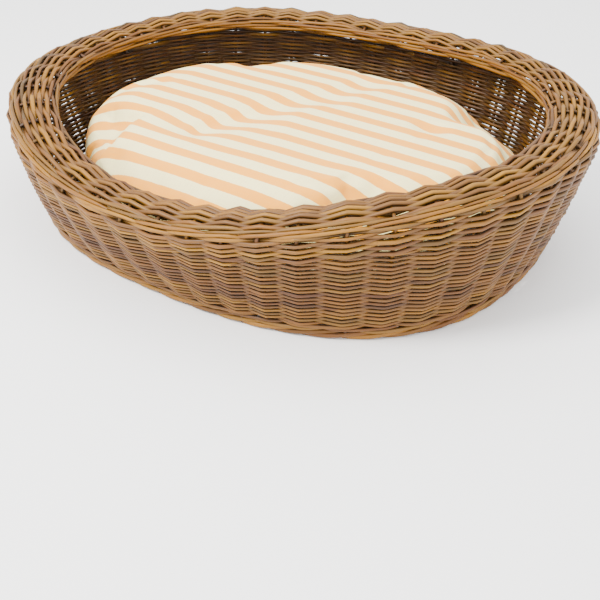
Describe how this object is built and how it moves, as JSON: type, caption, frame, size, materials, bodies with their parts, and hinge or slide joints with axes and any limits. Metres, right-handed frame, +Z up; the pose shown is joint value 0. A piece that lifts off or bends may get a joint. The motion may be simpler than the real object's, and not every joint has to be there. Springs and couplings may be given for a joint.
{
  "type": "pet bed basket",
  "caption": "Oval woven willow pet bed with a wide rolled rim, a low front entrance and a loose striped cushion with a zipped cover.",
  "frame": {"origin": "floor level, under the middle of the basket's outline", "axes": "+X along the long axis, +Y to the high back, -Y to the low entrance, +Z up"},
  "size_m": [0.957, 0.8197, 0.2441],
  "materials": {
    "base_sticks": "steamed willow rods, natural satin bark",
    "base_weave": "steamed willow rods, natural satin bark",
    "stakes": "steamed willow rods, natural satin bark",
    "rim_weave": "steamed willow rods, natural satin bark",
    "outer_weave": "steamed willow rods, natural satin bark",
    "foot_border": "steamed willow rods, natural satin bark",
    "filling": "loose polyester fibre fill",
    "cover_cloth": "plain-woven cotton with printed cream and peach stripes",
    "zip_tape": "woven polyester tape",
    "zip_teeth": "moulded plastic",
    "zip_metal": "plated zinc"
  },
  "bodies": {
    "basket": {"base_long_sticks": "base_sticks", "base_short_sticks": "base_sticks", "base_weave": "base_weave", "base_edge_waling": "base_weave", "stakes": "stakes", "inner_border": "rim_weave", "rim_weave": "rim_weave", "shoulder_wale": "rim_weave", "upper_skirt_weave": "outer_weave", "skirt_weave": "outer_weave", "foot_wale": "outer_weave", "foot_border": "foot_border"},
    "cushion": {"cushion_pad": "filling", "cushion_cover_top": "cover_cloth", "cushion_cover_bottom": "cover_cloth", "zip_tape_front": "zip_tape", "zip_tape_back": "zip_tape", "zip_teeth": "zip_teeth", "zip_stops": "zip_teeth"},
    "zip_slider": {"zip_slider": "zip_metal"},
    "zip_pull": {"zip_pull": "zip_metal"}
  },
  "joints": [
    {"name": "cushion_lift", "type": "slide", "parent": "basket", "child": "cushion", "axis": [0, 0, 1], "range_m": [0, 0.35]},
    {"name": "zip_slide", "type": "slide", "parent": "cushion", "child": "zip_slider", "axis": [1, 0, 0], "range_m": [0, 0.265]},
    {"name": "pull_swing", "type": "hinge", "parent": "zip_slider", "child": "zip_pull", "pos_m": [-0.1311, 0.15, 0.0233], "axis": [0, 1, 0], "range_deg": [0, 9]}
  ]
}
